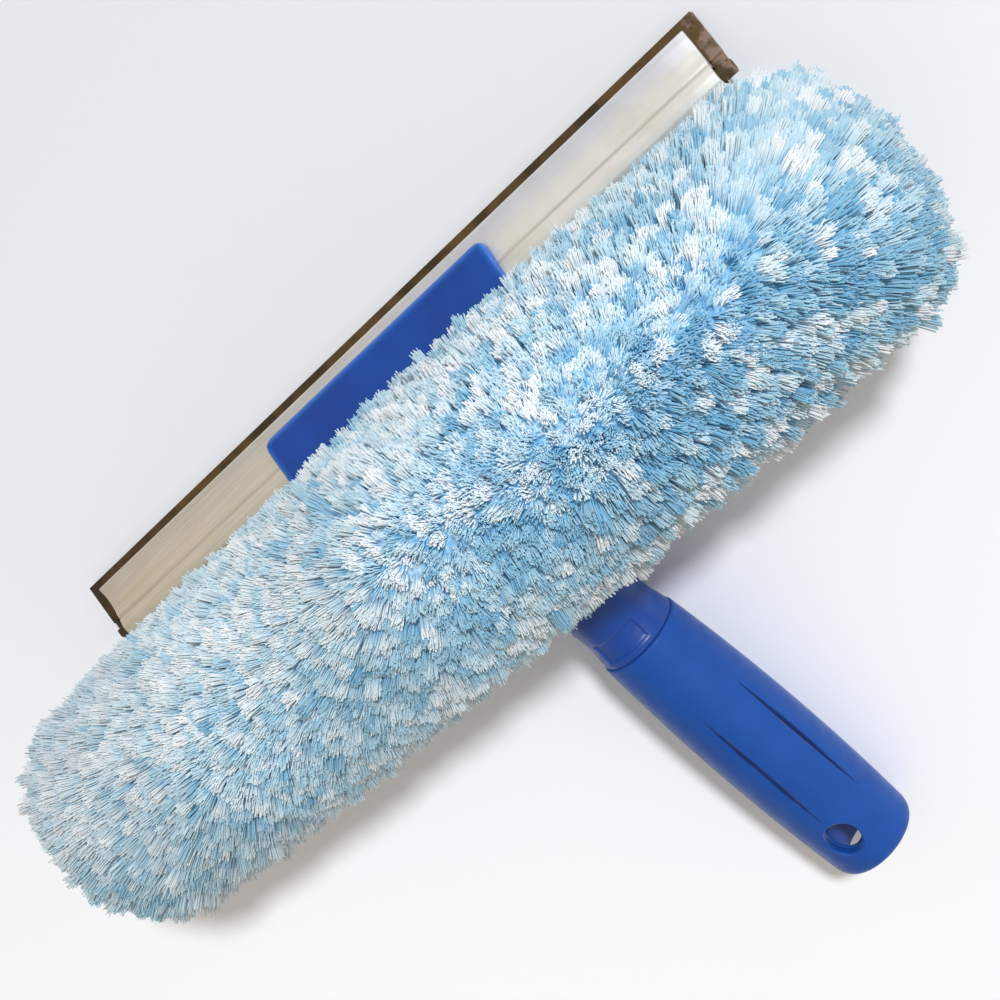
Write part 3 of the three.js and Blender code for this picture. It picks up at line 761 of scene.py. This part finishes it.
def strand_mesh(name, corners, normals, values, cells):
    """One mesh of many strands, with their named values. Each has its own cell of the surface map."""
    count = len(corners)
    loop_of_one = np.array([corner for face in STRAND_FACES for corner in face])
    loops = (loop_of_one[None] + 6 * np.arange(count)[:, None]).reshape(-1)
    sizes = np.tile([len(face) for face in STRAND_FACES], count)
    mesh = bpy.data.meshes.new(name)
    mesh.vertices.add(count * 6)
    mesh.vertices.foreach_set("co", corners.reshape(-1).astype(np.float32))
    mesh.loops.add(len(loops))
    mesh.loops.foreach_set("vertex_index", loops.astype(np.int32))
    mesh.polygons.add(len(sizes))
    mesh.polygons.foreach_set("loop_start", np.concatenate([[0], np.cumsum(sizes)[:-1]]).astype(np.int32))
    mesh.polygons.foreach_set("use_smooth", np.ones(len(sizes), bool))
    for key, numbers in values.items():
        store(mesh, key, np.repeat(numbers, 6))
    store(mesh, "along", np.tile([0, 0, 0, 1, 1, 1], count))
    sideways = 0.15 + 0.35 * (loop_of_one % 3)
    upright = 0.1 + 0.8 * (loop_of_one // 3)
    layer = mesh.uv_layers.new(name="OFBake")
    left, low, width, height = (cells[:, k, None] for k in range(4))
    layer.uv.foreach_set("vector", np.stack(
        [left + width * sideways, low + height * upright], axis=-1).reshape(-1).astype(np.float32))
    mesh.update()
    mesh.normals_split_custom_set_from_vertices(normals.reshape(-1, 3))
    return mesh


def map_cells(count):
    """A narrow upright cell of the unit square for each of count strands: left, low, width, height."""
    columns = math.ceil(math.sqrt(count * 5))
    rows = math.ceil(count / columns)
    i = np.arange(count)
    width, height = 1 / columns, 1 / rows
    return np.stack([
        (i % columns + 0.1) * width, (i // columns + 0.05) * height,
        np.full(count, 0.8 * width), np.full(count, 0.9 * height)], axis=-1)


def tuft_tones(points, random):
    """How white each tuft is, 0 to 1: patches of white among blue, paler and more even towards the -X end,
    and whiter on the -Y side as painted light that lifts the shade on the side turned from the key lamp.
    """
    locks = 3000
    lock_points, _ = pile_surface(*spread_over_pile(locks, 0.31))
    lock_points += random.normal(scale=1.2, size=lock_points.shape)
    tree = kdtree.KDTree(locks)
    for i, point in enumerate(lock_points):
        tree.insert(point, i)
    tree.balance()
    lock = np.array([tree.find(point)[1] for point in points])
    x, y, _ = (points / PILE_HALF).T
    lock_tone = random.choice([0.0, 0.25, 0.5, 0.9], size=locks, p=[0.24, 0.28, 0.26, 0.22])[lock]
    # painted light: the last term makes the -Y side whiter, lifting the shade on the side turned from the key
    # lamp
    blueness_with_painted_lift = 0.22 + 0.15 * x + 0.3 * np.cos(math.pi * (y + 0.3)) - 0.9 * np.clip(-y - 0.5, 0, 1)
    even = np.clip(0.55 - 0.5 * x, 0.25, 0.8)
    tone = lock_tone * (1 - even) + 0.54 * even + 0.55 * (0.35 - blueness_with_painted_lift)
    return tone + random.normal(scale=0.17, size=len(points)), lock_points[lock]


def make_pile():
    """Tufts of straight strands that fan out a little, in slices along the sleeve."""
    random = np.random.default_rng(7)
    tufts, strands, tuft_radius = 10500, 32, 1.75
    thinnest, thickest, tip_spread = 0.14, 0.24, 0.45
    points, normals = pile_surface(*spread_over_pile(tufts, 0.5))
    points += random.normal(scale=0.5, size=points.shape)
    tone, lock_point = tuft_tones(points, random)
    lean = swirl(points, normals, random) * 3.2 + random.normal(scale=0.9, size=points.shape)
    lean += 0.3 * (lock_point - points)
    rise = random.normal(scale=0.8, size=tufts) - 0.1 - 0.04 * np.linalg.norm(lean, axis=1)
    root = points * PILE_ROOT_SHARE
    tip = points + lean + normals * rise[:, None]

    side = random.normal(size=(tufts * strands, 3))
    reach = np.sqrt(random.uniform(size=tufts * strands))
    heading = np.repeat((tip - root) / np.linalg.norm(tip - root, axis=1, keepdims=True), strands, axis=0)
    offset = np.cross(heading, side)
    offset *= (tuft_radius * reach / np.linalg.norm(offset, axis=1))[:, None]
    drop = 0.5 * reach ** 2 + np.abs(random.normal(scale=0.45, size=tufts * strands))
    root = np.repeat(root, strands, axis=0) + 0.6 * offset
    tip = np.repeat(tip, strands, axis=0) + offset - heading * drop[:, None]
    tip += random.normal(scale=tip_spread, size=tip.shape)
    thickness = random.uniform(thinnest, thickest, len(tip))
    corners, corner_normals = strand_corners(root, tip, side[::-1], thickness)
    stations = (0, 0.25, 0.5, 0.75, 1)
    keep = np.all([clear_of_tool(root + (tip - root) * share) for share in stations], axis=0)
    values = {
        "tone": np.clip(np.repeat(tone, strands) + random.normal(scale=0.05, size=len(tip)), 0, 1),
        "strand": random.uniform(size=len(tip)),
    }
    x = np.repeat(points[:, 0], strands)
    section = np.digitize(x, np.quantile(x[keep], np.linspace(0, 1, PILE_SLICES + 1)[1:-1]))
    to_world = np.array(SLEEVE)[:3, :3] / MM
    for k in range(PILE_SLICES):
        chosen = keep & (section == k)
        mesh = strand_mesh(
            f"pile_{k}", moved(SLEEVE, corners[chosen]), corner_normals[chosen] @ to_world.T,
            {key: numbers[chosen] for key, numbers in values.items()}, map_cells(int(chosen.sum())))
        new_object(f"pile_{k}", mesh, "tool_body", PILE)


def make_undercoat():
    """The matted roots of the pile: the CAD solid of the pile, drawn in to where the tufts part."""
    mesh = moulded("undercoat", "sleeve_pile", 1.5, 2)
    local = moved(SLEEVE.inverted(), places(mesh))
    share = local / PILE_HALF
    widest = pile_share(np.clip(share[:, 0], -0.97, 0.97))
    around = np.hypot(share[:, 1], share[:, 2]) / np.maximum(widest, 0.3)
    level = np.maximum(around, np.abs(share[:, 0]) ** 3)
    outer = np.clip((level - UNDERCOAT_CORE) / (1 - UNDERCOAT_CORE), 0, 1)[:, None]
    local *= 1 - outer * UNDERCOAT_DRAWN_IN
    mesh.vertices.foreach_set("co", moved(SLEEVE, local).reshape(-1))
    mesh.update()
    undercoat = new_object("pile_roots", mesh, "tool_body", UNDERCOAT)
    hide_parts("sleeve_pile")


def make_backing():
    mesh = moulded("backing", "sleeve_backing", 0.6, 3)
    backing = new_object("backing", mesh, "tool_body", BACKING)
    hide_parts("sleeve_backing")


def make_flaps():
    for word in ("left", "right"):
        node = f"closure_flap_{word}"
        mesh = moulded(node, node, 0.3, 3)
        flap = new_object(f"flap_{word}", mesh, "tool_body", BACKING)
        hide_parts(node)


def finish_cad_nodes():
    looks = {"tbar_body": BAR_PLASTIC, "neck_pin": STEEL}
    for word in ("left", "right"):
        looks[f"tbar_end_cap_{word}"] = BAR_PLASTIC
        for node in ("jaw_screw", "jaw_nut", "tbar_screw", "tbar_nut"):
            looks[f"{node}_{word}"] = STEEL
        for node in ("hook_tape", "loop_tape"):
            looks[f"{node}_{word}"] = TAPE
    for node, look in looks.items():
        mesh = frame["nodes"][node].data
        mesh.materials.clear()
        mesh.materials.append(look)


# ---- stage ----


def make_lamp(name, energy, spread_degrees, towards, shade):
    """Light from far away; towards points from the tool to the lamp."""
    sun = bpy.data.lights.new(name, "SUN")
    sun.energy = energy
    sun.angle = math.radians(spread_degrees)
    sun.color = shade
    lamp = bpy.data.objects.new(name, sun)
    lamp.rotation_euler = Vector(towards).to_track_quat("Z", "Y").to_euler()
    bpy.context.scene.collection.objects.link(lamp)


def make_stage():
    half = 3.0
    corners = [(-half, -half, 0), (half, -half, 0), (half, half, 0), (-half, half, 0)]
    mesh = bpy.data.meshes.new("floor")
    mesh.from_pydata(corners, [], [(0, 1, 2, 3)])
    floor = bpy.data.objects.new("floor", mesh)
    bpy.context.scene.collection.objects.link(floor)
    mesh.materials.append(floor_look())

    make_lamp("key", 2.45, 6, (0.72, 0.45, 1.0), (0.93, 0.96, 1.0))
    make_lamp("fill", 0.12, 70, (0.2, -0.9, 0.6), (1.0, 1.0, 1.0))

    world = bpy.data.worlds.new("studio")
    world.use_nodes = True
    sky = world.node_tree.nodes["Background"]
    sky.inputs["Color"].default_value = (1.0, 0.93, 0.82, 1)
    sky.inputs["Strength"].default_value = 0.48
    bpy.context.scene.world = world
    bpy.context.scene.view_settings.view_transform = "Standard"


CAMERA_PLACE = (0.25942, 0.16579, 0.54365)
CAMERA_LOOKING = (-0.4368, -0.1994, -0.8772)
CAMERA_UP = (0.5908, 0.6718, -0.4469)


def make_camera():
    """A camera above the tool, turned so that the sleeve crosses the view from corner to corner."""
    data = bpy.data.cameras.new("camera")
    data.lens = 77.65
    data.sensor_width = 36
    camera = bpy.data.objects.new("camera", data)
    bpy.context.scene.collection.objects.link(camera)
    looking = Vector(CAMERA_LOOKING).normalized()
    right = looking.cross(Vector(CAMERA_UP)).normalized()
    turn = Matrix((right, right.cross(looking), -looking)).transposed().to_4x4()
    camera.matrix_world = Matrix.Translation(CAMERA_PLACE) @ turn
    bpy.context.scene.camera = camera


make_camera()
make_stage()
make_grip()
make_handle()
make_head()
make_channel()
make_rubber()
make_undercoat()
make_pile()
make_backing()
make_flaps()
finish_cad_nodes()
